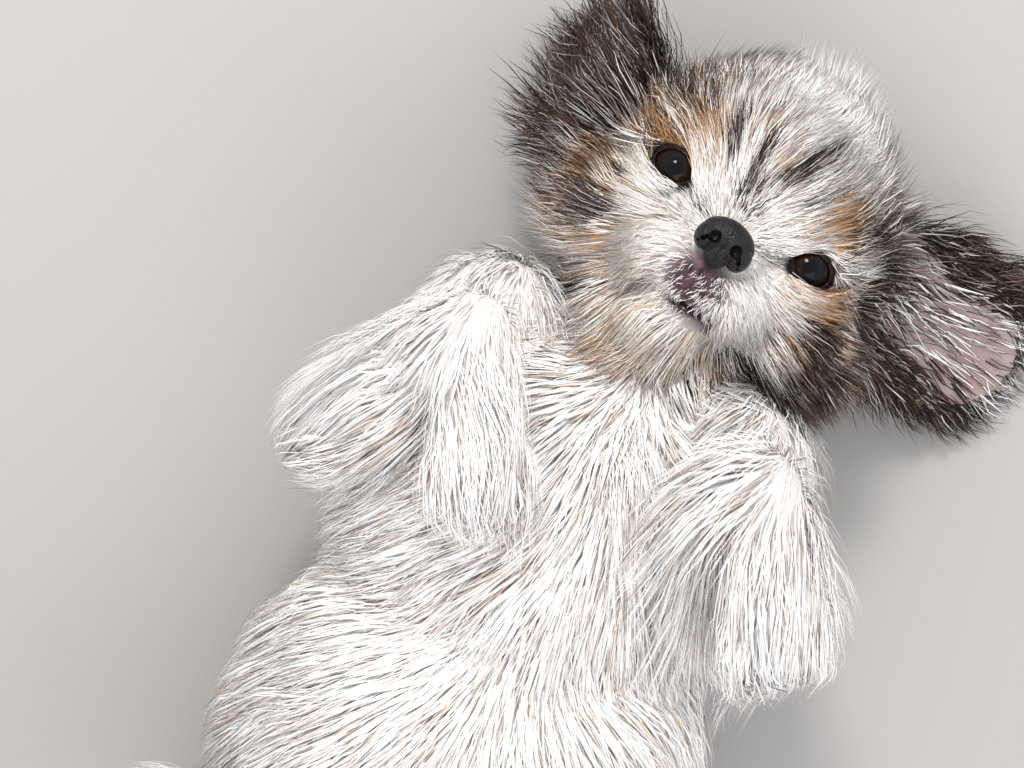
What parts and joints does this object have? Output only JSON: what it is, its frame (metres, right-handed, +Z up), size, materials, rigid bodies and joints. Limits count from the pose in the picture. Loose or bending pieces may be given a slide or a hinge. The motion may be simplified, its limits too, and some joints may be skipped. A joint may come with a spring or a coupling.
{
  "type": "shih tzu puppy figure",
  "caption": "Life-size still model of a shih tzu puppy lying on its back, face up, with its forepaws folded on its chest and its ears spread.",
  "frame": {"origin": "on the floor, in the flat under the puppy's back between its shoulders", "axes": "+Z up from the floor through the chest, since the puppy lies on its back; +Y towards the head; +X towards the puppy's own left"},
  "size_m": [0.2167, 0.4054, 0.1365],
  "materials": {
    "white_coat": "soft hair",
    "mixed_coat": "soft hair, white and tan with dark tips",
    "dark_coat": "soft hair",
    "nose_leather": "moist and pebbled",
    "eye": "polished, dark brown"
  },
  "bodies": {
    "root": {"torso": "white_coat", "neck": "dark_coat", "head": "mixed_coat", "nose": "nose_leather", "eye_left": "eye", "eye_right": "eye", "ear_left": "dark_coat", "ear_right": "dark_coat", "foreleg_left": "white_coat", "foreleg_right": "white_coat", "forepaw_left": "white_coat", "forepaw_right": "white_coat", "hindleg_left": "white_coat", "hindleg_right": "white_coat", "hindpaw_left": "white_coat", "hindpaw_right": "white_coat", "tail": "white_coat"}
  },
  "joints": []
}
